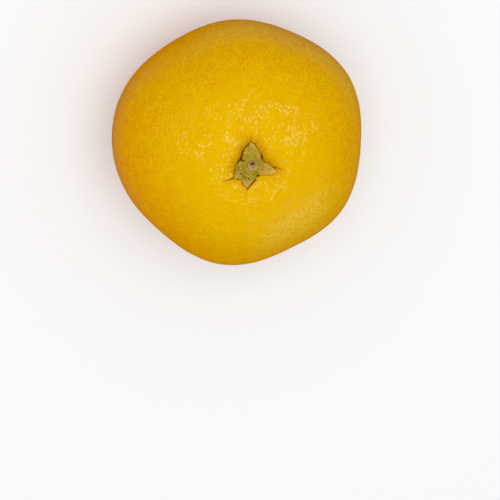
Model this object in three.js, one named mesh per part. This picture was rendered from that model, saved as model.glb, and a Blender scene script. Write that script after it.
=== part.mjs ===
// An orange, standing on its blossom end with its stem end up.
//
// Lengths are in millimetres, and +Z runs up the core of the fruit. The origin is the middle of
// the small flat spot that the fruit rests on. Headings are in degrees round +Z from +X.
//
//   fruit      the fruit itself, grown as one piece: rind, stem dimple and resting spot
//   calyx      the woody disc at the stem end, with its four sepals pressed to the rind
//   stem_stub  the broken end of the stem, hollow where its pith has dried out
import * as THREE from 'three';

// The fruit's driving dimensions.
const equatorDiameter = 78;     // on average, because the equator isn't quite round
const poleToPole = 72;          // before the dimple and the resting spot are taken off
const fullness = 2.15;          // 2 is an ellipse, and more has fuller shoulders
const restSpotRadius = 9;
const dimpleDepth = 3;          // at the core
const dimpleWidth = 7.5;        // distance from the core at which a third of that depth is left

// The equator's uneven outline: each line is a number of swellings round the fruit, how far they
// stand out as a share of the radius, and the heading of one of them.
const swellings = [
  { count: 2, share: 0.02, heading: 11 },
  { count: 3, share: 0.0135, heading: 41 },
  { count: 4, share: 0.0085, heading: -12 },
  { count: 5, share: 0.013, heading: 37 },
  { count: 6, share: 0.0105, heading: 28 },
];

// The calyx's driving dimensions. Each sepal reaches out from the core along its heading, and
// would be breadth wide there if it ran on into the disc. Its bluntness is 1 for a straight-sided
// point, 2 for a round end and more for a square one.
const discRadius = 3;
const sepals = [
  { heading: -15, reach: 7.7, breadth: 5.8, bluntness: 1.5 },
  { heading: 94, reach: 6.5, breadth: 5.5, bluntness: 3 },
  { heading: 215, reach: 7.9, breadth: 6.6, bluntness: 1.15 },
  { heading: 257, reach: 7.8, breadth: 6.2, bluntness: 1.4 },
];
const discThickness = 1.1;
const sepalTipThickness = 0.4;

// The stem stub's driving dimensions.
const stubRadius = 1.7;
const stubHeight = 1.1;
const pithRadius = 0.9;
const pithDepth = 0.8;

const clearGap = 0.3;           // left between neighbouring pieces
const facetsRound = 64;
const calyxFacetsRound = 96;
const stubFacetsRound = 28;

const halfWidth = equatorDiameter / 2;
const halfHeight = poleToPole / 2;
const equatorHeight = skinRise(restSpotRadius);

// How far the round body's skin is above the equator's plane, at a distance from the core.
function skinRise(distance) {
  return halfHeight * (1 - (distance / halfWidth) ** fullness) ** (1 / fullness);
}

// How far the dimple sinks the skin at the stem end.
function dimpleDrop(distance) {
  return dimpleDepth * Math.exp(-((distance / dimpleWidth) ** 2));
}

// The height of the skin over the upper half of the fruit.
function crownHeight(distance) {
  return equatorHeight + skinRise(distance) - dimpleDrop(distance);
}

// A solid turned round the core from its half section, which starts and ends on the core.
function turned(halfSection, facets) {
  const geometry = new THREE.LatheGeometry(halfSection, facets);
  geometry.rotateX(Math.PI / 2);
  return geometry;
}

// Moves each corner of a geometry to the place that a function gives for it.
function reshaped(geometry, newPlace) {
  const corners = geometry.attributes.position;
  const corner = new THREE.Vector3();
  for (let i = 0; i < corners.count; i++) {
    corner.fromBufferAttribute(corners, i);
    newPlace(corner);
    corners.setXYZ(i, corner.x, corner.y, corner.z);
  }
  geometry.computeVertexNormals();
  return geometry;
}

// Swells the round shape into its uneven outline: fully at the equator, not at all at the core.
function swell(corner) {
  const heading = Math.atan2(corner.y, corner.x);
  const fade = (Math.hypot(corner.x, corner.y) / halfWidth) ** 2;
  let growth = 1;
  for (const { count, share, heading: crest } of swellings) {
    growth += fade * share * Math.cos(count * (heading - THREE.MathUtils.degToRad(crest)));
  }
  corner.x *= growth;
  corner.y *= growth;
}

// The fruit's half section: across the resting spot, then up round the skin to the stem end.
function fruitHalfSection() {
  const rings = 34;
  const lowest = -Math.acos((restSpotRadius / halfWidth) ** (fullness / 2));
  const section = [new THREE.Vector2(0, 0), new THREE.Vector2(restSpotRadius, 0)];
  for (let i = 1; i < rings; i++) {
    const latitude = THREE.MathUtils.lerp(lowest, Math.PI / 2, i / rings);
    const distance = halfWidth * Math.cos(latitude) ** (2 / fullness);
    const below = equatorHeight - skinRise(distance);
    section.push(new THREE.Vector2(distance, latitude < 0 ? below : crownHeight(distance)));
  }
  section.push(new THREE.Vector2(0, crownHeight(0)));
  return section;
}

// How far the calyx's edge is from the core along a heading in radians: the disc's edge, or the
// side of whichever sepal reaches furthest there.
function calyxEdge(heading) {
  let edge = discRadius;
  for (const { heading: middle, reach, breadth, bluntness } of sepals) {
    const turn = heading - THREE.MathUtils.degToRad(middle);
    if (Math.cos(turn) > 0) {
      const along = Math.cos(turn) / reach;
      const across = Math.abs(Math.sin(turn)) / (breadth / 2);
      edge = Math.max(edge, (along ** bluntness + across ** bluntness) ** (-1 / bluntness));
    }
  }
  return edge;
}

// A round plate one unit in radius is stretched to the calyx's outline and laid on the skin.
function calyxGeometry() {
  const rings = 7;
  const halfSection = [];
  for (let i = 0; i <= rings; i++) {
    halfSection.push(new THREE.Vector2(i / rings, 0));
  }
  for (let i = rings; i >= 0; i--) {
    const thickness = THREE.MathUtils.lerp(discThickness, sepalTipThickness, i / rings);
    halfSection.push(new THREE.Vector2(i / rings, thickness));
  }
  return reshaped(turned(halfSection, calyxFacetsRound), (corner) => {
    const edge = calyxEdge(Math.atan2(corner.y, corner.x));
    corner.x *= edge;
    corner.y *= edge;
    corner.z += crownHeight(Math.hypot(corner.x, corner.y)) + clearGap;
    swell(corner);
  });
}

// The stub's half section: its base, its outside with a rounded lip, and the hollow in its end.
function stubHalfSection() {
  const lip = (stubRadius - pithRadius) / 2;
  const lipSteps = 8;
  const section = [new THREE.Vector2(0, 0), new THREE.Vector2(stubRadius, 0)];
  for (let i = 0; i <= lipSteps; i++) {
    const turn = Math.PI * i / lipSteps;
    const distance = stubRadius - lip + lip * Math.cos(turn);
    section.push(new THREE.Vector2(distance, stubHeight - lip * (1 - Math.sin(turn))));
  }
  section.push(new THREE.Vector2(pithRadius * 0.8, stubHeight - pithDepth));
  section.push(new THREE.Vector2(0, stubHeight - pithDepth));
  return section;
}

// One named piece of the orange.
function piece(name, geometry, finish) {
  const mesh = new THREE.Mesh(geometry, new THREE.MeshStandardMaterial(finish));
  mesh.name = name;
  return mesh;
}

const fruit = piece('fruit', reshaped(turned(fruitHalfSection(), facetsRound), swell), {
  color: 0xe6a800, roughness: 0.35, metalness: 0,
});

const calyx = piece('calyx', calyxGeometry(), {
  color: 0xa88f38, roughness: 0.85, metalness: 0,
});

const stemStub = piece('stem_stub', turned(stubHalfSection(), stubFacetsRound), {
  color: 0xa58355, roughness: 0.95, metalness: 0,
});
stemStub.position.z = crownHeight(0) + discThickness + 2 * clearGap;

const orange = new THREE.Group();
orange.add(fruit, calyx, stemStub);

export default orange;
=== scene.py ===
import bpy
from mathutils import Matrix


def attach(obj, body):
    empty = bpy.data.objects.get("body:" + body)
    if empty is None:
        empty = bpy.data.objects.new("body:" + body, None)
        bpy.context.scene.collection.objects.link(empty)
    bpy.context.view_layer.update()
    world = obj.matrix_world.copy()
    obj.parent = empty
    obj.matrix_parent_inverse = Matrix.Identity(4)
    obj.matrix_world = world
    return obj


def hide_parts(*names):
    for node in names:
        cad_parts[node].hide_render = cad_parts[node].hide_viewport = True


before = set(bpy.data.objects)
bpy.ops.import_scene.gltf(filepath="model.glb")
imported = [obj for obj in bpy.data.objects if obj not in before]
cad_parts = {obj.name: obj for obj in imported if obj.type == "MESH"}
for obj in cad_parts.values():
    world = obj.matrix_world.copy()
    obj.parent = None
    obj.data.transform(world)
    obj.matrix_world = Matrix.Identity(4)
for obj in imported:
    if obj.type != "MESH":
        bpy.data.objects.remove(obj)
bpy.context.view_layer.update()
print("frame loaded")

import math

import bmesh
import bpy
from mathutils import Matrix, Vector, kdtree, noise

mm = 0.001

# the round body, as the frame has it; heights are measured from the resting spot
body = {
    "halfWidth": 39 * mm,
    "halfHeight": 36 * mm,
    "fullness": 2.15,  # 2 is an ellipse, more has fuller shoulders
    "restSpot": 9 * mm,
    "dimpleDepth": 3 * mm,
    "dimpleWidth": 7.5 * mm,
    # swellings round the equator: how many, share of the radius, heading of one in degrees
    "swellings": [(2, 0.02, 11), (3, 0.0135, 41), (4, 0.0085, -12), (5, 0.013, 37), (6, 0.0105, 28)],
}


def skinRise(distance):
    share = min(distance / body["halfWidth"], 1)
    return body["halfHeight"] * (1 - share ** body["fullness"]) ** (1 / body["fullness"])


def bell(value, width):
    # 1 at 0, about a third at width, then nothing
    return math.exp(-((value / width) ** 2))


def dimpleDrop(distance):
    return body["dimpleDepth"] * bell(distance, body["dimpleWidth"])


equatorHeight = skinRise(body["restSpot"])


def crownHeight(distance):
    return equatorHeight + skinRise(distance) - dimpleDrop(distance)


def fromCore(point):
    # distance from the core, and heading
    return math.hypot(point.x, point.y), math.atan2(point.y, point.x)


def wayTo(heading):
    return Vector((math.cos(heading), math.sin(heading), 0))


def swell(point):
    distance, heading = fromCore(point)
    fade = (distance / body["halfWidth"]) ** 2
    growth = 1
    for count, share, crest in body["swellings"]:
        growth += fade * share * math.cos(count * (heading - math.radians(crest)))
    return Vector((point.x * growth, point.y * growth, point.z))


def smoothStep(low, high, value):
    share = min(max((value - low) / (high - low), 0), 1)
    return share * share * (3 - 2 * share)


def mix(a, b, share):
    return a + (b - a) * share


def waves(point, size, seed=0):
    # soft bumps about size apart, between -1 and 1
    return noise.noise(point / size + Vector((seed, 2 * seed, 3 * seed)))


# calyx; its outline is shared with the groove that it leaves in the rind
calyx = {
    "disc": 3.0 * mm,
    # heading, reach, half breadth and bluntness of the anticlockwise and the clockwise side, and
    # how far each sepal has dried from green to tan
    "sepals": [
        (-14.2, 7.7 * mm, (3.0 * mm, 1.15), (2.75 * mm, 1.9), 0.5),
        (93.0, 6.9 * mm, (3.55 * mm, 1.65), (3.2 * mm, 1.6), 0.42),
        (216.0, 7.0 * mm, (6.8 * mm, 1.0), (4.1 * mm, 1.35), 0.22),
        (257.0, 7.3 * mm, (3.1 * mm, 1.2), (3.3 * mm, 1.75), 0.38),
    ],
    "sepalTurn": 0.55,          # cosine of the widest turn from its heading that a sepal covers
    "ragged": 0.36 * mm,
    "raggedSize": 0.9 * mm,
    "frayedSize": 0.5 * mm,
    "frayed": (4.8 * mm, 6.2 * mm),  # the tip on the +Y side frays between these distances
    "fraying": (0.5, 2.0),      # how frayed the rest and that tip are
    "steps": 420,
    "discRings": 22,
    "sepalRings": 22,
    "underRings": 6,
    "meshDisc": 0.97,           # share of the disc that its own rings of the mesh cover
    "sink": 0.3 * mm,           # how far its underside is below the skin
    "discThickness": 1.6 * mm,  # all thicknesses are from the underside
    "discEdge": (2.5 * mm, 3.7 * mm),
    "sepalThickness": 0.75 * mm,
    "tipThickness": 0.5 * mm,
    "roundedEdge": 0.35 * mm,
    "edgeThickness": 0.45,      # share of the thickness that is left at the very edge
    # raised rings on the disc: distance from the core, half width
    "discRingsAt": [(1.75 * mm, 0.09 * mm), (2.22 * mm, 0.16 * mm), (2.85 * mm, 0.12 * mm)],
    "ringHeight": 0.26 * mm,
    # the old bruise where the disc meets two of the sepals: distance, half width, headings
    "bruise": (4.3 * mm, 0.3 * mm, 178, 280),
    "bruiseFade": 12,           # degrees at each end
    "bruiseSize": 0.6 * mm,
    "hollowDepth": 1.2 * mm,    # under the stem stub
    "hollowEdge": (1.0 * mm, 1.4 * mm),
    "discDryness": 0.13,
    "tipDryness": 0.35,         # the tips dried out first
    "ribHeight": 0.14 * mm,
    "ribWidth": 0.35 * mm,
    "wrinkle": 0.12 * mm,
    "fibreSize": (0.45 * mm, 2.2 * mm),
    "lumpSize": 1.1 * mm,
    "curl": 0.25 * mm,
    "curlWidth": 1.0 * mm,
    "curlSize": 1.7 * mm,
    "oliveColour": (0.36, 0.29, 0.011, 1),
    "discColour": (0.275, 0.22, 0.006, 1),
    "crestColour": (0.58, 0.36, 0.05, 1),
    "tanColour": (0.61, 0.345, 0.055, 1),
    "tipColour": (0.70, 0.40, 0.075, 1),
    "blotchColour": (0.14, 0.05, 0.027, 1),
    "warmColour": (0.62, 0.32, 0.05, 1),
    "darkColour": (0.10, 0.07, 0.01, 1),
    # a darker brown edge: partly its dried edge, partly painted shade where it meets the rind
    "rimWidth": 0.12 * mm,
    "edgeColour": (0.17, 0.045, 0.008, 1),
    "edgeStrength": 0.7,
    "dotColour": (0.97, 0.66, 0.01, 1),
    # mottled masks: size, threshold, softness and detail
    "broadPatches": (1.7 * mm, 0.5, 0.15, 4.0),
    "finePatches": (0.45 * mm, 0.5, 0.07, 3.0),
    "blotches": (1.2 * mm, 0.72, 0.04, 3.0),
    "edgePatches": (1.6 * mm, 0.5, 0.06),
    # dots: spacing, and radius and softness as shares of it
    "warmSpecks": (0.75 * mm, 0.24, 0.1),
    "darkSpecks": (0.95 * mm, 0.17, 0.06),
    "yellowDots": (0.5 * mm, 0.41, 0.14),
    "dotsFrom": (5.1 * mm, 5.6 * mm),  # yellow dots near the tip of the sepal on the +X side
    "driedBetween": (0.78, 1.08),      # patchiness and dryness add up to this where it turns tan
    "tipDriedBetween": (0.6, 1.0),     # the dryness that turns tan to the tip's colour
    "grainSize": 0.25 * mm,
    "grainHeight": 0.08 * mm,
}


def calyxEdge(heading):
    edge = calyx["disc"]
    for middle, reach, leftSide, rightSide, _ in calyx["sepals"]:
        turn = heading - math.radians(middle)
        if math.cos(turn) > calyx["sepalTurn"]:
            halfBreadth, bluntness = leftSide if math.sin(turn) > 0 else rightSide
            along = (math.cos(turn) / reach) ** bluntness
            across = (abs(math.sin(turn)) / halfBreadth) ** bluntness
            edge = max(edge, (along + across) ** (-1 / bluntness))
    around = wayTo(heading) * edge
    fraying = mix(*calyx["fraying"], smoothStep(*calyx["frayed"], around.y))
    fine = waves(around, calyx["frayedSize"], 8) * fraying
    return edge + calyx["ragged"] * (waves(around, calyx["raggedSize"], 5) + fine)


def outlineTree(points=720):
    tree = kdtree.KDTree(points)
    for i in range(points):
        heading = math.tau * i / points
        tree.insert(wayTo(heading) * calyxEdge(heading), i)
    tree.balance()
    return tree


# material helpers
def put(tree, kind, inputs=None, **settings):
    made = tree.nodes.new(kind)
    for name, value in settings.items():
        setattr(made, name, value)
    for name, value in (inputs or {}).items():
        socket = made.inputs[name]
        if isinstance(value, bpy.types.NodeSocket):
            tree.links.new(value, socket)
        else:
            socket.default_value = value
    return made


def number(tree, operation, a, b=0.0):
    return put(tree, "ShaderNodeMath", {0: a, 1: b}, operation=operation).outputs[0]


def times(tree, a, b):
    return number(tree, "MULTIPLY", a, b)


def plus(tree, a, b):
    return number(tree, "ADD", a, b)


def alongWay(tree, vector, way):
    made = put(tree, "ShaderNodeVectorMath", {0: vector, 1: way}, operation="DOT_PRODUCT")
    return made.outputs["Value"]


def lengthOf(tree, vector):
    return put(tree, "ShaderNodeVectorMath", {0: vector}, operation="LENGTH").outputs["Value"]


def attribute(tree, name):
    return put(tree, "ShaderNodeAttribute", attribute_name=name).outputs["Fac"]


def colourMix(tree, mask, a, b):
    return put(tree, "ShaderNodeMix", {0: mask, 6: a, 7: b}, data_type="RGBA").outputs[2]


def rampMask(tree, value, low, high):
    made = put(tree, "ShaderNodeMapRange", {"Value": value, "From Min": low, "From Max": high},
               interpolation_type="SMOOTHSTEP")
    return made.outputs["Result"]


def newGroup(name, inputs, outputs):
    group = bpy.data.node_groups.new(name, "ShaderNodeTree")
    for socketName, kind, value in inputs:
        socket = group.interface.new_socket(name=socketName, in_out="INPUT", socket_type=kind)
        if value is not None:
            socket.default_value = value
    for socketName in outputs:
        group.interface.new_socket(name=socketName, in_out="OUTPUT", socket_type="NodeSocketFloat")
    return group, put(group, "NodeGroupInput"), put(group, "NodeGroupOutput")


def makeMottle():
    # soft blotches of one size, as a mask with its own threshold and softness
    group, given, result = newGroup("mottle", [
        ("Vector", "NodeSocketVector", None),
        ("Size", "NodeSocketFloat", 0.01),
        ("Middle", "NodeSocketFloat", 0.5),
        ("Softness", "NodeSocketFloat", 0.2),
        ("Detail", "NodeSocketFloat", 2.0),
    ], ["Mask"])
    scale = number(group, "DIVIDE", 1.0, given.outputs["Size"])
    cloud = put(group, "ShaderNodeTexNoise", {
        "Vector": given.outputs["Vector"], "Scale": scale, "Detail": given.outputs["Detail"],
    })
    low = number(group, "SUBTRACT", given.outputs["Middle"], given.outputs["Softness"])
    high = plus(group, given.outputs["Middle"], given.outputs["Softness"])
    group.links.new(rampMask(group, cloud.outputs["Fac"], low, high), result.inputs["Mask"])
    return group


def makeDots():
    # scattered round dots: a mask that is 1 in a dot's middle, and a random value for each dot
    group, given, result = newGroup("dots", [
        ("Vector", "NodeSocketVector", None),
        ("Spacing", "NodeSocketFloat", 0.001),
        ("Radius", "NodeSocketFloat", 0.5),
        ("Softness", "NodeSocketFloat", 0.3),
    ], ["Mask", "Random"])
    scale = number(group, "DIVIDE", 1.0, given.outputs["Spacing"])
    cells = put(group, "ShaderNodeTexVoronoi", {"Vector": given.outputs["Vector"], "Scale": scale})
    parts = put(group, "ShaderNodeSeparateColor", {"Color": cells.outputs["Color"]})
    inner = number(group, "SUBTRACT", given.outputs["Radius"], given.outputs["Softness"])
    spread = rampMask(group, cells.outputs["Distance"], given.outputs["Radius"], inner)
    group.links.new(spread, result.inputs["Mask"])
    group.links.new(parts.outputs["Red"], result.inputs["Random"])
    return group


def makeGrain():
    # fine grain of something dry, as a height
    group, given, result = newGroup("grain", [
        ("Vector", "NodeSocketVector", None),
        ("Size", "NodeSocketFloat", 0.0002),
    ], ["Height"])
    scale = number(group, "DIVIDE", 1.0, given.outputs["Size"])
    cloud = put(group, "ShaderNodeTexNoise", {
        "Vector": given.outputs["Vector"], "Scale": scale, "Detail": 4.0,
    })
    group.links.new(cloud.outputs["Fac"], result.inputs["Height"])
    return group


def bentPlace(group, place):
    # a slow bend keeps the pores out of straight rows
    bendSize, bend = 9 * mm, 2.4 * mm
    cloud = put(group, "ShaderNodeTexNoise", {"Vector": place, "Scale": 1 / bendSize, "Detail": 0.0})
    centred = put(group, "ShaderNodeVectorMath", {
        0: cloud.outputs["Color"], 1: (0.5, 0.5, 0.5),
    }, operation="SUBTRACT")
    bent = put(group, "ShaderNodeVectorMath", {
        0: centred.outputs["Vector"], 1: (bend, bend, bend), 2: place,
    }, operation="MULTIPLY_ADD")
    return bent.outputs["Vector"]


def flatPores(group, given, a, b, depth):
    # the pores on one side of the cube, and a random value for each
    flat = put(group, "ShaderNodeCombineXYZ", {
        "X": number(group, "ARCTAN2", a, depth),
        "Y": number(group, "ARCTAN2", b, depth),
    })
    cells = put(group, "ShaderNodeTexVoronoi", {
        "Vector": flat.outputs["Vector"], "Scale": given.outputs["Per Radian"],
        "Randomness": given.outputs["Randomness"],
    }, voronoi_dimensions="2D")
    own = put(group, "ShaderNodeSeparateColor", {"Color": cells.outputs["Color"]}).outputs["Red"]
    # the widest pores are half as wide again as the narrowest
    growth = plus(group, times(group, own, 0.4), 0.75)
    distance = number(group, "DIVIDE", cells.outputs["Distance"], growth)
    inner = number(group, "SUBTRACT", given.outputs["Radius"], given.outputs["Softness"])
    return rampMask(group, distance, given.outputs["Radius"], inner), own


def makePores():
    # even pores on a round body: every point is laid flat on the side of a cube that it faces
    group, given, result = newGroup("pores", [
        ("Vector", "NodeSocketVector", None),
        ("Per Radian", "NodeSocketFloat", 28.0),
        ("Radius", "NodeSocketFloat", 0.4),
        ("Softness", "NodeSocketFloat", 0.3),
        ("Randomness", "NodeSocketFloat", 0.7),
    ], ["Mask", "Random"])
    seam = 0.03  # how far one side of the cube fades into the next
    place = bentPlace(group, given.outputs["Vector"])
    parts = put(group, "ShaderNodeSeparateXYZ", {"Vector": place}).outputs
    mask, random = 0.0, 0.0
    for side in range(3):
        depth = number(group, "ABSOLUTE", parts[side])
        a, b = parts[(side + 1) % 3], parts[(side + 2) % 3]
        pore, own = flatPores(group, given, a, b, depth)
        others = number(group, "MAXIMUM", number(group, "ABSOLUTE", a), number(group, "ABSOLUTE", b))
        lead = number(group, "SUBTRACT", number(group, "DIVIDE", depth, others), 1.0)
        facing = rampMask(group, lead, -seam, seam)
        mask = number(group, "MAXIMUM", mask, times(group, pore, facing))
        random = number(group, "MAXIMUM", random, times(group, own, facing))
    group.links.new(mask, result.inputs["Mask"])
    group.links.new(random, result.inputs["Random"])
    return group


mottleGroup = makeMottle()
dotsGroup = makeDots()
grainGroup = makeGrain()
poresGroup = makePores()


def mottle(tree, vector, size, middle, softness, detail=2.0):
    made = put(tree, "ShaderNodeGroup", {
        "Vector": vector, "Size": size, "Middle": middle, "Softness": softness, "Detail": detail,
    }, node_tree=mottleGroup)
    return made.outputs["Mask"]


def dots(tree, vector, spacing, radius, softness):
    made = put(tree, "ShaderNodeGroup", {
        "Vector": vector, "Spacing": spacing, "Radius": radius, "Softness": softness,
    }, node_tree=dotsGroup)
    return made.outputs["Mask"], made.outputs["Random"]


def pores(tree, vector, perRadian, radius, softness):
    made = put(tree, "ShaderNodeGroup", {
        "Vector": vector, "Per Radian": perRadian, "Radius": radius, "Softness": softness,
    }, node_tree=poresGroup)
    return made.outputs["Mask"], made.outputs["Random"]


def setBump(tree, shader, height, distance):
    bump = put(tree, "ShaderNodeBump", {"Height": height, "Distance": distance})
    tree.links.new(bump.outputs["Normal"], shader.inputs["Normal"])


def setGrain(tree, shader, place, size, height):
    made = put(tree, "ShaderNodeGroup", {"Vector": place, "Size": size}, node_tree=grainGroup)
    setBump(tree, shader, made.outputs["Height"], height)


def newMaterial(name, constants):
    material = bpy.data.materials.new(name)
    material.use_nodes = True
    tree = material.node_tree
    tree.nodes.clear()
    shader = put(tree, "ShaderNodeBsdfPrincipled", constants)
    put(tree, "ShaderNodeOutputMaterial", {"Surface": shader.outputs["BSDF"]})
    place = put(tree, "ShaderNodeTexCoord").outputs["Object"]
    return material, tree, shader, place


# mesh helpers
def spunShape(places, steps, mergeWithin, cuts=0):
    # a half section from place to place, spun round the core that it starts and ends on
    bm = bmesh.new()
    section = [bm.verts.new(place) for place in places]
    for a, b in zip(section, section[1:]):
        bm.edges.new((a, b))
    if cuts:
        bmesh.ops.subdivide_edges(bm, edges=bm.edges[:], cuts=cuts)
    bmesh.ops.spin(bm, geom=bm.verts[:] + bm.edges[:], cent=(0, 0, 0), axis=(0, 0, 1),
                   angle=math.tau, steps=steps, use_merge=True)
    bmesh.ops.remove_doubles(bm, verts=bm.verts[:], dist=mergeWithin)
    return bm


def finishMesh(bm, name):
    for face in bm.faces:
        face.smooth = True
    bmesh.ops.recalc_face_normals(bm, faces=bm.faces[:])
    mesh = bpy.data.meshes.new(name)
    bm.to_mesh(mesh)
    bm.free()
    piece = bpy.data.objects.new(name, mesh)
    bpy.context.scene.collection.objects.link(piece)
    return piece


def finishPiece(piece, material, node):
    piece.data.materials.clear()
    piece.data.materials.append(material)
    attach(piece, "root")
    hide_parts(node)


# rind
rind = {
    "cuts": 105,
    "fineAngle": 17,      # degrees from the core at the stem end where the mesh is finer
    "finestAngle": 15,
    "relief": [           # size of the bumps and their height
        (24 * mm, 0.40 * mm),
        (9 * mm, 0.28 * mm),
        (4.6 * mm, 0.24 * mm),
        (2.6 * mm, 0.15 * mm),
    ],
    # distances from the core between which the bumps grow or shrink, and the share of their
    # height that is left by the calyx and on the sides
    "calyxRelief": (4 * mm, 10 * mm, 0.4),
    "sideRelief": (20 * mm, 29 * mm, 0.2),
    "pucker": 0.35 * mm,
    "puckerRing": (8 * mm, 5 * mm),  # distance from the core, half width
    "puckerFolds": 2.2,
    "puckerLength": 18 * mm,
    "calyxZone": 11 * mm,            # the marks round the calyx are inside this distance
    # the groove along the calyx's edge, and the wider pit that it lies in
    "grooveDepth": 0.16 * mm,
    "grooveWidth": 0.17 * mm,
    "grooveGaps": 1.4 * mm,
    "pitDepth": 0.55 * mm,
    "pitWidth": 1.5 * mm,
    "grooveCork": (0.35, 0.95),      # shares of its depth where its cork starts and is full
    "furrowCork": (0.2, 0.9),
    # the stain round the calyx is partly real stain and partly painted shade of the dimple
    "stainAndShadeWidth": 2.4 * mm,
    "stainAndShadeShare": 0.75,              # on average, because it has rays
    "stainAndShadeRays": 9,
    "rayLength": 6 * mm,
    "farSideShare": 0.3,             # what is left of the pit and of the stain with its painted shade on the -Y side
    "furrowStainAndShade": 0.9,
    # pits beside the sepals, their dark edges and the creases past their tips, in mm: start, end,
    # half width, depth, and how much it fades towards its end
    "furrows": [
        ((-3.15, 1.75), (-3.15, 1.2), 0.4, 0.6, 0),
        ((2.65, 2.5), (2.8, 1.8), 0.42, 0.6, 0),
        ((1.5, -3.4), (2.1, -3.25), 0.38, 0.5, 0),
        ((-5.6, -3.95), (-8.9, -5.0), 0.2, 0.3, 0.6),
        ((6.7, -0.75), (9.8, -1.5), 0.2, 0.25, 0.7),
        ((-1.6, -7.4), (1.15, -4.55), 0.22, 0.3, 0),
    ],
    "blossomScar": 1.7 * mm,
    "blossomRagged": 1.5 * mm,
    "blossomDent": 0.5 * mm,
    "blossomCork": 0.8,
    "restSoftness": 0.1 * mm,        # how softly the skin turns up from the floor
    "goldColour": (0.85, 0.515, 0.0, 1),
    "orangeColour": (0.90, 0.365, 0.0, 1),
    "poreColour": (0.74, 0.27, 0.0, 1),
    # orange-brown of the stain, which also serves as painted shade round the calyx
    "stainAndShadeColour": (0.52, 0.21, 0.002, 1),
    "corkColour": (0.15, 0.031, 0.003, 1),
    "speckColour": (0.42, 0.18, 0.0, 1),
    # the more orange side, partly ripeness and partly painted orange bounce light, and how far
    # towards it that starts and is full
    "ripeAndBounceSide": (-0.48, -0.42, -1.25),
    "ripeAndBounceRange": (-28 * mm, 26 * mm),
    "ripeAndBounceShare": 0.85,
    "blotchShare": 0.2,
    # mottled masks: size, threshold, softness and detail
    "ripeBlotches": (22 * mm, 0.5, 0.3),
    "flecks": (2.6 * mm, 0.5, 0.2, 4.0),
    "sheenPatches": (5 * mm, 0.34, 0.2),
    "fleckStrength": 0.3,
    "specks": (7 * mm, 0.04, 0.02),  # dots: spacing, and radius and softness as shares of it
    "stainAndShadeStrength": 0.75,
    "poreSpacing": 1.32 * mm,
    "poreRadius": 0.5,
    "poreSoftness": 0.42,
    "poreStrength": 0.2,
    "poreVariety": 0.35,
    # heights above the equator between which the pores turn yellow, and how far they do
    "plainCrown": (22 * mm, 34 * mm),
    "crownPlainness": 0.6,
    # the depth of the pores, shares of which are added up by height above the equator
    "poreDepth": 0.05 * mm,
    "baseDepth": 0.6,
    "deeperAbove": (-4 * mm, 22 * mm),
    "deeperBelow": (4 * mm, -10 * mm),
    "smoothCrown": (26 * mm, 32 * mm),  # they close up between these heights
    # but stay open on this shoulder, where they are this much shallower
    "coarseSide": (0.65, -0.76, 0),
    "coarseRange": (11 * mm, 19 * mm),
    "coarseEasing": 0.35,
    "pebbleSize": 1.7 * mm,
    "pebbleHeight": 0.24 * mm,
    "sidePebbles": 0.1,              # the share of that height away from the stem end
    "roughness": 0.05,
    "poreDullness": 0.05,
    # the patch on the coarse shoulder with a painted pale sheen between its pores: place from the
    # middle of the fruit, reach each way, and shares of that where it starts and is full
    "sheenPlace": (14.7 * mm, -20.6 * mm, 29.3 * mm),
    "sheenReach": (5.4 * mm, 16.5 * mm, 30 * mm),
    "sheenFade": (1.35, 0.45),
    "sheenBetween": (0.40, 0.04),    # how deep in a pore it is gone and is full
    "sheenPlainness": 0.55,          # how far the pores turn yellow in it
    "paintedSheenColour": (0.85, 0.545, 0.026, 1),
}


def furrowDepth(point):
    deepest, strongest = 0, 0
    for start, end, halfWidth, depth, fade in rind["furrows"]:
        a, b = Vector(start) * mm, Vector(end) * mm
        flat = Vector((point.x, point.y))
        along = min(max((flat - a).dot(b - a) / (b - a).length_squared, 0), 1)
        share = bell((flat - a.lerp(b, along)).length, halfWidth * mm) * (1 - fade * along)
        deepest = max(deepest, depth * mm * share)
        strongest = max(strongest, share)
    return deepest, strongest


def reliefHeight(point, distance, heading):
    # the skin is most uneven on the shoulders round the stem end
    start, full, least = rind["calyxRelief"]
    strength = mix(least, 1, smoothStep(start, full, distance))
    start, full, least = rind["sideRelief"]
    strength *= mix(1, least, smoothStep(start, full, distance))
    height = 0
    for seed, (size, rise) in enumerate(rind["relief"], start=1):
        height += rise * waves(point, size, seed) * strength
    ring, width = rind["puckerRing"]
    fold = wayTo(heading) * rind["puckerFolds"]
    fold.z = distance / rind["puckerLength"]
    return height + rind["pucker"] * bell(distance - ring, width) * noise.noise(fold)


def blossomMarks(point, distance):
    # cork, stain and dent of the small scar at the blossom end
    edge = rind["blossomScar"] * (1 + 0.5 * waves(point, rind["blossomRagged"], 11))
    corky = rind["blossomCork"] * (1 - smoothStep(0.6 * edge, edge, distance))
    dent = rind["blossomDent"] * (1 - smoothStep(0, 1.6 * edge, distance))
    return corky, bell(distance, 2.5 * edge), dent


def calyxMarks(point, distance, heading, outline):
    # cork, stain with painted shade, and depth round the calyx and under it
    deepest, furrow = furrowDepth(point)
    away = outline.find((point.x, point.y, 0))[2]
    if distance < calyxEdge(heading):
        away = 0
    groove = bell(away, rind["grooveWidth"])
    deepest = max(deepest, groove * rind["grooveDepth"])
    unbroken = smoothStep(-0.1, 0.3, waves(point, rind["grooveGaps"], 9))
    corky = smoothStep(*rind["grooveCork"], groove) * unbroken
    corky = max(corky, smoothStep(*rind["furrowCork"], furrow))
    # the pit and the stain are strongest on the +Y side, where the stain also paints shade on the
    # dimple's wall
    shaded = mix(rind["farSideShare"], 1, smoothStep(-0.6, 0.2, math.sin(heading)))
    ray = wayTo(heading) * rind["stainAndShadeRays"]
    ray.z = distance / rind["rayLength"]
    streaked = rind["stainAndShadeShare"] * (1 + noise.noise(ray))
    ringed = bell(away, rind["stainAndShadeWidth"]) * streaked * shaded
    stainedAndShaded = max(ringed, rind["furrowStainAndShade"] * furrow ** 0.4)
    return corky, stainedAndShaded, deepest + rind["pitDepth"] * shaded * bell(away, rind["pitWidth"])


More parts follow.
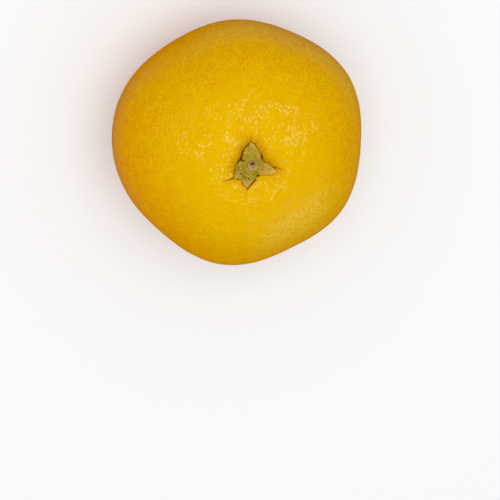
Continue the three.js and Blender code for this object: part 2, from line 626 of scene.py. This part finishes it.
def makeBody():
    # a cube spread evenly over a ball, finer at the stem end, then stretched to the round body
    bm = bmesh.new()
    bmesh.ops.create_cube(bm, size=2)
    bmesh.ops.subdivide_edges(bm, edges=bm.edges[:], cuts=rind["cuts"], use_grid_fill=True)
    for vert in bm.verts:
        # the tangent evens out the squares once they are on the ball
        vert.co = Vector([math.tan(c * math.pi / 4) for c in vert.co]).normalized()
    for angle in (rind["fineAngle"], rind["finestAngle"]):
        limit = math.cos(math.radians(angle))
        near = [e for e in bm.edges if e.verts[0].co.z > limit and e.verts[1].co.z > limit]
        bmesh.ops.subdivide_edges(bm, edges=near, cuts=1, use_grid_fill=True)
        for vert in bm.verts:
            vert.co.normalize()

    power = body["fullness"]
    for vert in bm.verts:
        across, up = math.hypot(vert.co.x, vert.co.y), abs(vert.co.z)
        shares = (across / body["halfWidth"]) ** power + (up / body["halfHeight"]) ** power
        reach = shares ** (-1 / power)
        point = vert.co * reach
        if vert.co.z > 0:
            point.z -= dimpleDrop(across * reach)
        point.z += equatorHeight
        vert.co = swell(point)
    bm.normal_update()
    return bm


def makeRind():
    bm = makeBody()
    cork = bm.verts.layers.float.new("cork")
    stainAndShade = bm.verts.layers.float.new("stainAndShade")
    outline = outlineTree()
    moved, dents = [], []
    for vert in bm.verts:
        point = vert.co
        distance, heading = fromCore(point)
        height = reliefHeight(point, distance, heading)
        if point.z < 0:
            vert[cork], vert[stainAndShade], dent = blossomMarks(point, distance)
            dents.append((vert, dent))
        if point.z > equatorHeight and distance < rind["calyxZone"]:
            vert[cork], vert[stainAndShade], depth = calyxMarks(point, distance, heading, outline)
            height -= depth
        moved.append(point + vert.normal * height)
    for vert, point in zip(bm.verts, moved):
        # the skin flattens where it rests
        point.z = 0.5 * (point.z + math.sqrt(point.z ** 2 + rind["restSoftness"] ** 2))
        vert.co = point
    for vert, dent in dents:
        vert.co.z += dent
    return finishMesh(bm, "orange_rind")


def ripeAndBounceColour(tree, place, fromMiddle):
    # more orange towards one side: ripeness, and painted orange bounce light on the lower side
    ripeAndBounce = rampMask(tree, alongWay(tree, fromMiddle, rind["ripeAndBounceSide"]), *rind["ripeAndBounceRange"])
    blotch = mottle(tree, place, *rind["ripeBlotches"])
    ripeAndBounce = times(tree, ripeAndBounce, rind["ripeAndBounceShare"])
    ripeAndBounce = plus(tree, ripeAndBounce, times(tree, blotch, rind["blotchShare"]))
    return colourMix(tree, ripeAndBounce, rind["goldColour"], rind["orangeColour"])


def sheenPatch(tree, fromMiddle):
    # where the painted sheen lies: an oval patch on the coarse shoulder, broken into thin patches
    patch = put(tree, "ShaderNodeMapping", {
        "Vector": fromMiddle, "Location": rind["sheenPlace"], "Scale": rind["sheenReach"],
        "Rotation": (0, 0, math.atan2(rind["coarseSide"][1], rind["coarseSide"][0])),
    }, vector_type="TEXTURE")
    away = lengthOf(tree, patch.outputs["Vector"])
    thin = mottle(tree, fromMiddle, *rind["sheenPatches"])
    return times(tree, rampMask(tree, away, *rind["sheenFade"]), thin)


def poreColours(tree, colour, place, fromMiddle, up, pits, pitRandom):
    # the pores are orange, but yellow round the stem end and in the patch of painted sheen
    patch = sheenPatch(tree, fromMiddle)
    crown = times(tree, rampMask(tree, up, *rind["plainCrown"]), rind["crownPlainness"])
    plain = number(tree, "MAXIMUM", crown, times(tree, patch, rind["sheenPlainness"]))
    showing = number(tree, "SUBTRACT", 1.0, plain)
    strength = plus(tree, times(tree, pitRandom, rind["poreVariety"]), rind["poreStrength"])
    strength = times(tree, strength, showing)
    colour = colourMix(tree, times(tree, pits, strength), colour, rind["poreColour"])
    flecks = mottle(tree, place, *rind["flecks"])
    flecks = times(tree, flecks, times(tree, showing, rind["fleckStrength"]))
    colour = colourMix(tree, flecks, colour, rind["poreColour"])
    # painted pale sheen on the skin between the pores in that patch
    paintedSheen = times(tree, patch, rampMask(tree, pits, *rind["sheenBetween"]))
    return colourMix(tree, paintedSheen, colour, rind["paintedSheenColour"])


def skinHeight(tree, place, fromMiddle, up, pits):
    # round the stem end the pores close up and the skin between them is most uneven
    crown = rampMask(tree, up, *rind["smoothCrown"])
    shoulder = rampMask(tree, alongWay(tree, fromMiddle, rind["coarseSide"]), *rind["coarseRange"])
    smoother = times(tree, crown, number(tree, "SUBTRACT", 1.0, shoulder))
    deep = number(tree, "SUBTRACT", 1.0, smoother)
    deep = number(tree, "SUBTRACT", deep, times(tree, shoulder, rind["coarseEasing"]))
    # they are shallowest just above the equator
    above = plus(tree, rampMask(tree, up, *rind["deeperAbove"]), rind["baseDepth"])
    deep = times(tree, deep, plus(tree, above, rampMask(tree, up, *rind["deeperBelow"])))
    depth = times(tree, deep, rind["poreDepth"])
    pebble = put(tree, "ShaderNodeTexNoise", {
        "Vector": place, "Scale": 1 / rind["pebbleSize"], "Detail": 1.0,
    }).outputs["Fac"]
    uneven = plus(tree, times(tree, smoother, 1 - rind["sidePebbles"]), rind["sidePebbles"])
    uneven = times(tree, uneven, rind["pebbleHeight"])
    return number(tree, "SUBTRACT", times(tree, pebble, uneven), times(tree, pits, depth))


def makeRindMaterial():
    material, tree, shader, place = newMaterial("waxy rind", {
        "Subsurface Weight": 0.08,
        "Subsurface Radius": (1.0, 0.35, 0.05),
        "Subsurface Scale": 1.5 * mm,
        "IOR": 1.45,
    })
    middle = put(tree, "ShaderNodeVectorMath", {0: place, 1: (0, 0, equatorHeight)},
                 operation="SUBTRACT")
    fromMiddle = middle.outputs["Vector"]
    up = put(tree, "ShaderNodeSeparateXYZ", {"Vector": fromMiddle}).outputs["Z"]
    perRadian = body["halfWidth"] / rind["poreSpacing"]
    pits, pitRandom = pores(tree, fromMiddle, perRadian, rind["poreRadius"], rind["poreSoftness"])
    cork = attribute(tree, "cork")

    colour = ripeAndBounceColour(tree, place, fromMiddle)
    colour = poreColours(tree, colour, place, fromMiddle, up, pits, pitRandom)
    specks, _ = dots(tree, place, *rind["specks"])
    colour = colourMix(tree, specks, colour, rind["speckColour"])
    # stain round the calyx, partly painted shade of the dimple
    stainAndShade = times(tree, attribute(tree, "stainAndShade"), rind["stainAndShadeStrength"])
    colour = colourMix(tree, stainAndShade, colour, rind["stainAndShadeColour"])
    colour = colourMix(tree, cork, colour, rind["corkColour"])
    tree.links.new(colour, shader.inputs["Base Color"])
    # the wax is duller in the pores and gone on the cork
    dull = plus(tree, times(tree, pits, rind["poreDullness"]), cork)
    tree.links.new(plus(tree, dull, rind["roughness"]), shader.inputs["Roughness"])
    setBump(tree, shader, skinHeight(tree, place, fromMiddle, up, pits), 1.0)
    return material


rindPiece = makeRind()
finishPiece(rindPiece, makeRindMaterial(), "fruit")
print("rind made:", len(rindPiece.data.polygons), "faces")


# calyx
def nearestSepal(heading):
    def closeness(sepal):
        return math.cos(heading - math.radians(sepal[0]))
    return max(calyx["sepals"], key=closeness)


def bruising(distance, heading):
    ring, width, start, end = calyx["bruise"]
    fade = calyx["bruiseFade"]
    degrees = math.degrees(heading) % 360
    inside = smoothStep(start, start + fade, degrees) * (1 - smoothStep(end - fade, end, degrees))
    broken = smoothStep(-0.26, 0.0, waves(wayTo(heading) * distance, calyx["bruiseSize"], 6))
    return inside * broken * bell(distance - ring, width)


def discCrest(distance, heading):
    # the raised rings on the disc, broken here and there
    crest = 0
    for ring, width in calyx["discRingsAt"]:
        around = wayTo(heading)
        around.z = ring / mm
        broken = 0.6 + 1.1 * waves(around, 0.6, 3)
        crest = max(crest, broken * bell(distance - ring, width))
    return crest


def calyxShape(distance, heading, away):
    # thickness, how far it is sepal, crest, bruise and dryness
    middle, reach, _, _, dryness = nearestSepal(heading)
    turn = heading - math.radians(middle)
    along, across = distance * math.cos(turn), distance * math.sin(turn)
    leafy = smoothStep(*calyx["discEdge"], distance)
    out = smoothStep(calyx["disc"], reach, distance)
    thickness = mix(calyx["sepalThickness"], calyx["tipThickness"], out)
    thickness = mix(calyx["discThickness"], thickness, leafy)
    crest = discCrest(distance, heading)
    rib = bell(across, calyx["ribWidth"]) * leafy * (1 - smoothStep(0.6, 1, along / reach))
    fibreWidth, fibreLength = calyx["fibreSize"]
    fibres = noise.noise(Vector((across / fibreWidth, along / fibreLength, middle)))
    lumps = waves(Vector((across, along, 0)), calyx["lumpSize"], 7)
    lifted = smoothStep(-0.2, 0.5, waves(Vector((along, across, 0)), calyx["curlSize"], middle))
    lift = smoothStep(calyx["curlWidth"], 0, away) * lifted
    thickness += calyx["ringHeight"] * crest
    thickness += calyx["ribHeight"] * rib + calyx["wrinkle"] * (fibres * leafy + 0.5 * lumps)
    thickness += calyx["curl"] * lift * leafy
    thickness -= calyx["hollowDepth"] * (1 - smoothStep(*calyx["hollowEdge"], distance))
    dryLeaf = dryness + calyx["tipDryness"] * smoothStep(0.7, 0.95, along / reach)
    dry = mix(calyx["discDryness"], dryLeaf, leafy)
    return thickness, leafy, crest * (1 - leafy), bruising(distance, heading), dry


def makeCalyx():
    # a flat round plate one unit in radius, stretched to the calyx's outline and laid on the rind
    count = calyx["discRings"] + calyx["sepalRings"]
    under = calyx["underRings"]
    top = [(i / count, 0, 1) for i in range(count + 1)]
    bottom = [(i / under, 0, 0) for i in range(under, -1, -1)]
    bm = spunShape(top + bottom, calyx["steps"], 1e-5)

    rim = bm.verts.layers.float.new("rim")
    leaf = bm.verts.layers.float.new("leaf")
    crest = bm.verts.layers.float.new("crest")
    bruise = bm.verts.layers.float.new("bruise")
    dry = bm.verts.layers.float.new("dry")
    outline = outlineTree(1440)
    discShare = calyx["discRings"] / count
    inner = calyx["meshDisc"] * calyx["disc"]
    for vert in bm.verts:
        share, heading = fromCore(vert.co)
        if share < discShare:
            distance = inner * share / discShare
        else:
            distance = mix(inner, calyxEdge(heading), (share - discShare) / (1 - discShare))
        point = wayTo(heading) * distance
        away = outline.find(point)[2] if share < 0.999 else 0  # the last ring is the outline
        shape = calyxShape(distance, heading, away)
        thickness, vert[leaf], vert[crest], vert[bruise], vert[dry] = shape
        point.z = crownHeight(distance) - calyx["sink"]
        if vert.co.z > 0.5:
            fromEdge = 1 - min(away / calyx["roundedEdge"], 1)
            point.z += thickness * mix(calyx["edgeThickness"], 1, math.sqrt(1 - fromEdge ** 2))
        elif share > 0.9:
            # the underside's edge is lifted halfway to the skin
            point.z += calyx["sink"] * 0.5
        vert[rim] = bell(away, calyx["rimWidth"])
        vert.co = swell(point)
    return finishMesh(bm, "calyx_button")


def dryColour(tree, place, leaf):
    # green where it's fresh, tan where it has dried
    dry = attribute(tree, "dry")
    disc = colourMix(tree, attribute(tree, "crest"), calyx["discColour"], calyx["crestColour"])
    green = colourMix(tree, leaf, disc, calyx["oliveColour"])
    broad = mottle(tree, place, *calyx["broadPatches"])
    fine = mottle(tree, place, *calyx["finePatches"])
    patchy = times(tree, plus(tree, broad, fine), 0.5)
    dried = rampMask(tree, plus(tree, patchy, dry), *calyx["driedBetween"])
    atTip = rampMask(tree, dry, *calyx["tipDriedBetween"])
    tan = colourMix(tree, atTip, calyx["tanColour"], calyx["tipColour"])
    return colourMix(tree, dried, green, tan)


def speckled(tree, place, colour, leaf, specks, speckColour):
    # specks of differing strength on the sepals
    mask, strength = dots(tree, place, *specks)
    return colourMix(tree, times(tree, mask, times(tree, strength, leaf)), colour, speckColour)


def makeCalyxMaterial():
    material, tree, shader, place = newMaterial("dried calyx", {
        "Roughness": 0.8,
        "Specular IOR Level": 0.08,
    })
    leaf = attribute(tree, "leaf")
    colour = dryColour(tree, place, leaf)
    blotches = mottle(tree, place, *calyx["blotches"])
    blotches = number(tree, "MAXIMUM", blotches, attribute(tree, "bruise"))
    colour = colourMix(tree, blotches, colour, calyx["blotchColour"])
    colour = speckled(tree, place, colour, leaf, calyx["warmSpecks"], calyx["warmColour"])
    colour = speckled(tree, place, colour, leaf, calyx["darkSpecks"], calyx["darkColour"])
    spots, _ = dots(tree, place, *calyx["yellowDots"])
    across = put(tree, "ShaderNodeSeparateXYZ", {"Vector": place}).outputs["X"]
    spots = times(tree, spots, rampMask(tree, across, *calyx["dotsFrom"]))
    colour = colourMix(tree, spots, colour, calyx["dotColour"])
    # darker brown edge: dried edge and painted shade where the calyx meets the rind
    brownAndShadedEdge = times(tree, attribute(tree, "rim"), mottle(tree, place, *calyx["edgePatches"]))
    brownAndShadedEdge = times(tree, brownAndShadedEdge, calyx["edgeStrength"])
    colour = colourMix(tree, brownAndShadedEdge, colour, calyx["edgeColour"])
    tree.links.new(colour, shader.inputs["Base Color"])
    setGrain(tree, shader, place, calyx["grainSize"], calyx["grainHeight"])
    return material


calyxPiece = makeCalyx()
finishPiece(calyxPiece, makeCalyxMaterial(), "calyx")
print("calyx made")

# stem stub
stub = {
    "base": crownHeight(0) - calyx["sink"] + calyx["discThickness"],  # where it leaves the disc
    # half section from the core up the outside, over the rim and down into the hollow, in mm
    "section": [
        (0, -0.6), (1.3, -0.6), (1.36, -0.1), (1.48, 0.12), (1.55, 0.3), (1.52, 0.48), (1.38, 0.58),
        (1.2, 0.55), (1.05, 0.4), (0.96, 0.15), (0.88, -0.15), (0.7, -0.35), (0.35, -0.42), (0, -0.44),
    ],
    "sectionCuts": 2,
    "steps": 96,
    # the dark middle of the stub: its dark pith, and painted shade in its hollow
    "pithAndShadeEdge": (0.45 * mm, 0.82 * mm),
    "pithAndShadeFlattening": 1.2,
    # the hollow is off the middle: how far, between which distances that fades, and from what
    # height up
    "hollowShift": 0.45 * mm,
    "hollowEdge": (0.8 * mm, 1.6 * mm),
    "shiftedAbove": -0.5 * mm,
    "roughFrom": (-0.3 * mm, 0.2 * mm),
    "fibre": 0.09 * mm,        # how far the fibres stand out
    "fibresRound": 4.5,
    "fibreLength": 2.5 * mm,
    "lump": 0.12 * mm,
    "lumpSize": 0.6 * mm,
    "corkColour": (0.45, 0.245, 0.066, 1),
    "paleColour": (0.61, 0.42, 0.18, 1),
    "pithAndShadeColour": (0.05, 0.016, 0.001, 1),
    # mottled masks: size, threshold, softness and detail
    "palePatches": (0.5 * mm, 0.52, 0.1, 3.0),
    "hollowPatches": (0.8 * mm, 0.35, 0.15),
    "grainSize": 0.18 * mm,
    "grainHeight": 0.08 * mm,
}


def makeStub():
    places = [(x * mm, 0, z * mm) for x, z in stub["section"]]
    bm = spunShape(places, stub["steps"], 1e-6, stub["sectionCuts"])
    pithAndShade = bm.verts.layers.float.new("pithAndShade")
    for vert in bm.verts:
        distance, heading = fromCore(vert.co)
        around = wayTo(heading)
        fromPithAndShade = math.hypot(vert.co.x, stub["pithAndShadeFlattening"] * vert.co.y)
        vert[pithAndShade] = 1 - smoothStep(*stub["pithAndShadeEdge"], fromPithAndShade)
        rough = smoothStep(*stub["roughFrom"], vert.co.z) + vert[pithAndShade]
        fibre = around * stub["fibresRound"]
        fibre.z = vert.co.z / stub["fibreLength"]
        fibres = noise.noise(fibre)
        lumps = waves(vert.co, stub["lumpSize"], 4)
        vert.co += around * rough * stub["fibre"] * fibres
        if vert.co.z > stub["shiftedAbove"]:
            vert.co.y += stub["hollowShift"] * (1 - smoothStep(*stub["hollowEdge"], distance))
        vert.co.z += rough * stub["lump"] * (lumps + 0.5 * fibres) + stub["base"]
    return finishMesh(bm, "stem_scar")


def makeStubMaterial():
    material, tree, shader, place = newMaterial("stem cork", {
        "Roughness": 0.8,
        "Specular IOR Level": 0.2,
    })
    pale = mottle(tree, place, *stub["palePatches"])
    colour = colourMix(tree, pale, stub["corkColour"], stub["paleColour"])
    # dark pith and painted shade in the hollow
    hollow = times(tree, attribute(tree, "pithAndShade"), mottle(tree, place, *stub["hollowPatches"]))
    colour = colourMix(tree, hollow, colour, stub["pithAndShadeColour"])
    tree.links.new(colour, shader.inputs["Base Color"])
    setGrain(tree, shader, place, stub["grainSize"], stub["grainHeight"])
    return material


stubPiece = makeStub()
finishPiece(stubPiece, makeStubMaterial(), "stem_stub")
print("stem stub made")

# studio
shot = {
    "lens": 135,
    "distance": 599 * mm,
    "lean": (0.1213, -0.2132),       # where the core points in the view, to the right and up
    "aim": (3.62 * mm, -34.8 * mm),  # middle of the frame from the middle of the fruit
    "fill": 0.635,
    "glossyFill": 0.01,              # the wax reflects the softboxes and little else
    "floorReach": 4,                 # metres each way
    "floorColour": (0.975, 0.99, 1.0, 1),
    # what the floor throws back on the fruit, and what the part behind it does
    "bounceColour": (0.85, 0.64, 0.32, 1),
    "backBounce": (0.58, 0.40, 0.24, 1),
    "backWay": (0.4, 0.9, 0),
    "backFull": 70 * mm,
    # the floor that the wax mirrors: warm near the fruit, then black, and pale in zones
    "warmFloor": (0.5, 0.23, 0.0, 1),
    "warmReach": (160 * mm, 90 * mm),  # where the warmth is gone and is full
    "paleFloor": (0.20, 0.19, 0.16, 1),
    "zoneCore": 0.6,                   # share of its reach within which a zone is full
    # direction, where a zone starts and is full along that, reach, strength
    "paleZones": [
        ((0.4, 0.9, 0), 30 * mm, 68 * mm, 160 * mm, 1.0),
        ((-1, 0.1, 0), 39 * mm, 52 * mm, 110 * mm, 0.55),
        ((1, -0.2, 0), 40 * mm, 60 * mm, 200 * mm, 0.15),
    ],
    # softboxes that glint in the wax: degrees to the right of the camera and above it, distance
    # and size in metres, watts
    "glints": [
        (-44, -2, 0.9, 0.14, 0.17),
        (-24, 18, 0.9, 0.12, 0.12),
        (-22, -9, 0.9, 0.16, 0.25),
        (2, 15, 0.9, 0.12, 0.14),
        (24, 23, 0.9, 0.14, 0.17),
        (40, 20, 0.9, 0.13, 0.16),
        (40, -7, 0.9, 0.16, 0.23),
        (56, 6, 0.9, 0.13, 0.16),
        (31, -26, 0.9, 0.14, 0.17),
        (108, -46, 0.6, 0.45, 0.14),
        (78, -60, 0.6, 0.36, 0.10),
        (13, -5, 0.9, 0.13, 0.19),
        (0, -33, 0.9, 0.10, 0.09),
        (24, -38, 0.9, 0.10, 0.08),
    ],
    "glintColour": (0.85, 1.0, 0.72),
    "key": (6, -3, 1.2, 0.80, 6.2),  # the one that lights the fruit
    "keyColour": (1, 1, 1),
}


def viewAxes():
    # the least turn that leans the core as it should stand in the view
    right, up = shot["lean"]
    toward = math.sqrt(1 - right ** 2 - up ** 2)
    across = Vector((1 - right ** 2 / (1 + toward), -right * up / (1 + toward), right))
    upward = Vector((-right * up / (1 + toward), 1 - up ** 2 / (1 + toward), up))
    return across, upward, Vector((-right, -up, toward))


def makeCamera(middle):
    across, upward, toward = viewAxes()
    place = middle + toward * shot["distance"]
    aim = middle + across * shot["aim"][0] + upward * shot["aim"][1]
    back = (place - aim).normalized()
    right = upward.cross(back).normalized()
    turned = Matrix((right, back.cross(right), back)).transposed().to_4x4()
    data = bpy.data.cameras.new("camera")
    data.lens = shot["lens"]
    data.clip_start = 0.01
    data.clip_end = 20
    camera = bpy.data.objects.new("camera", data)
    camera.matrix_world = Matrix.Translation(place) @ turned
    bpy.context.scene.collection.objects.link(camera)
    bpy.context.scene.camera = camera


def makeSoftbox(name, middle, placing, colour, glinting):
    # a softbox either glints in the wax or lights the fruit
    side, above, distance, size, watts = placing
    across, upward, toward = viewAxes()
    turn, lift = math.radians(side), math.radians(above)
    way = toward * math.cos(turn) * math.cos(lift)
    way += across * math.sin(turn) * math.cos(lift) + upward * math.sin(lift)
    data = bpy.data.lights.new(name, "AREA")
    data.shape = "SQUARE"
    data.size = size
    data.energy = watts
    data.color = colour
    lamp = bpy.data.objects.new(name, data)
    lamp.location = middle + way * distance
    lamp.rotation_euler = way.to_track_quat("Z", "Y").to_euler()
    lamp.visible_camera = False
    lamp.visible_glossy = glinting
    lamp.visible_diffuse = not glinting
    bpy.context.scene.collection.objects.link(lamp)


def makeWorld():
    world = bpy.data.worlds.new("studio")
    bpy.context.scene.world = world
    world.use_nodes = True
    tree = world.node_tree
    tree.nodes.clear()
    rays = put(tree, "ShaderNodeLightPath").outputs
    lit = put(tree, "ShaderNodeMix", {0: rays["Is Glossy Ray"], 2: shot["fill"], 3: shot["glossyFill"]})
    seen = put(tree, "ShaderNodeMix", {0: rays["Is Camera Ray"], 2: lit.outputs[0], 3: 1.0})
    room = put(tree, "ShaderNodeBackground", {"Color": (1, 1, 1, 1), "Strength": seen.outputs[0]})
    put(tree, "ShaderNodeOutputWorld", {"Surface": room.outputs[0]})


def mirroredFloor(tree, place):
    away = lengthOf(tree, place)
    pale = 0.0
    for way, start, full, reach, strength in shot["paleZones"]:
        zone = times(tree, rampMask(tree, alongWay(tree, place, way), start, full), strength)
        zone = times(tree, zone, rampMask(tree, away, reach, shot["zoneCore"] * reach))
        pale = number(tree, "MAXIMUM", pale, zone)
    near = rampMask(tree, away, *shot["warmReach"])
    warm = colourMix(tree, near, (0, 0, 0, 1), shot["warmFloor"])
    return colourMix(tree, pale, warm, shot["paleFloor"])


def makeFloorMaterial():
    material, tree, shader, place = newMaterial("pale floor", {
        "Roughness": 0.9,
        "Specular IOR Level": 0.1,
    })
    rays = put(tree, "ShaderNodeLightPath").outputs
    behind = rampMask(tree, alongWay(tree, place, shot["backWay"]), 0, shot["backFull"])
    bounce = colourMix(tree, behind, shot["bounceColour"], shot["backBounce"])
    shade = colourMix(tree, rays["Is Diffuse Ray"], shot["floorColour"], bounce)
    shade = colourMix(tree, rays["Is Glossy Ray"], shade, mirroredFloor(tree, place))
    tree.links.new(shade, shader.inputs["Base Color"])
    return material


def makeFloor():
    bm = bmesh.new()
    bmesh.ops.create_grid(bm, x_segments=1, y_segments=1, size=shot["floorReach"])
    mesh = bpy.data.meshes.new("floor")
    bm.to_mesh(mesh)
    bm.free()
    mesh.materials.append(makeFloorMaterial())
    floor = bpy.data.objects.new("floor", mesh)
    bpy.context.scene.collection.objects.link(floor)


bpy.context.scene.view_settings.view_transform = "Standard"
fruitMiddle = Vector((0, 0, equatorHeight))
makeCamera(fruitMiddle)
for i, placing in enumerate(shot["glints"], start=1):
    makeSoftbox(f"glint softbox {i}", fruitMiddle, placing, shot["glintColour"], True)
makeSoftbox("key softbox", fruitMiddle, shot["key"], shot["keyColour"], False)
makeWorld()
makeFloor()
print("studio ready")
